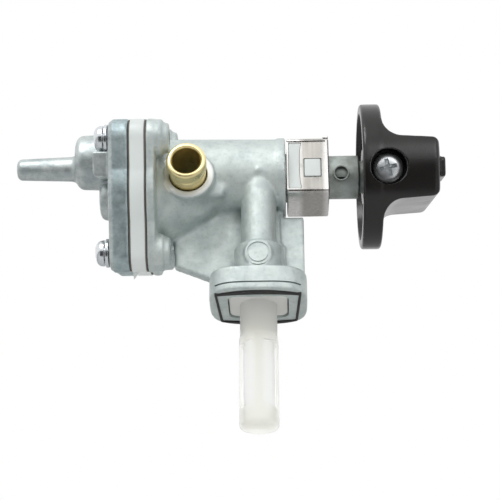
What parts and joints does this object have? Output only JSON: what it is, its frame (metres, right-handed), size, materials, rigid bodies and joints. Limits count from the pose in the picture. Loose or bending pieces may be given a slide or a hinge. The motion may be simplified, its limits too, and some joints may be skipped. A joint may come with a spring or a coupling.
{
  "type": "fuel tap",
  "caption": "Vacuum fuel tap with a square diaphragm block, a hose spigot on it, a brass outlet pipe, a turn knob and a tank flange with a strainer.",
  "frame": {"origin": "centre of the tank flange's sealing face", "axes": "+X along the barrel from the diaphragm block to the knob, +Z out of the tank flange towards the barrel, -Y the way the outlet pipe points"},
  "size_m": [0.1176, 0.0514, 0.0937],
  "materials": {
    "cast_alloy": "as cast",
    "shaft_alloy": "satin",
    "brass": "turned",
    "acetal": "smooth",
    "nylon": "smooth",
    "gauze": "fine mesh",
    "rubber": "matt",
    "plated_steel": "zinc plated",
    "stainless": "bright",
    "black_plastic": "semi-gloss"
  },
  "bodies": {
    "tap": {"tap_body": "cast_alloy", "outlet_pipe": "brass", "diaphragm_cover": "cast_alloy", "spacer_plate": "acetal", "vacuum_diaphragm": "rubber", "fuel_diaphragm": "rubber", "diaphragm_spring": "stainless", "cover_screw_1": "plated_steel", "cover_screw_2": "plated_steel", "cover_screw_3": "plated_steel", "cover_screw_4": "plated_steel", "cover_washer_1": "plated_steel", "cover_washer_2": "plated_steel", "cover_washer_3": "plated_steel", "cover_washer_4": "plated_steel", "tank_gasket": "rubber", "strainer": "nylon", "strainer_gauze": "gauze", "valve_packing": "rubber", "shaft_bush": "acetal", "retainer_clip": "stainless", "wave_washer": "stainless"},
    "plunger": {"valve_stem": "brass", "vacuum_plate": "brass", "fuel_plate": "brass", "valve_seal": "rubber"},
    "knob": {"valve_rotor": "shaft_alloy", "shaft_seal": "rubber", "knob": "black_plastic", "knob_screw": "plated_steel"}
  },
  "joints": [
    {"name": "knob_turn", "type": "hinge", "parent": "tap", "child": "knob", "pos_m": [0, 0, 0.039], "axis": [1, 0, 0], "range_deg": [-90, 90]},
    {"name": "plunger_lift", "type": "slide", "parent": "tap", "child": "plunger", "axis": [-1, 0, 0], "range_m": [0, 0.0015], "stiffness_N_per_m": 400, "springref_m": -0.003, "deforming": ["diaphragm_spring", "vacuum_diaphragm", "fuel_diaphragm"]}
  ]
}
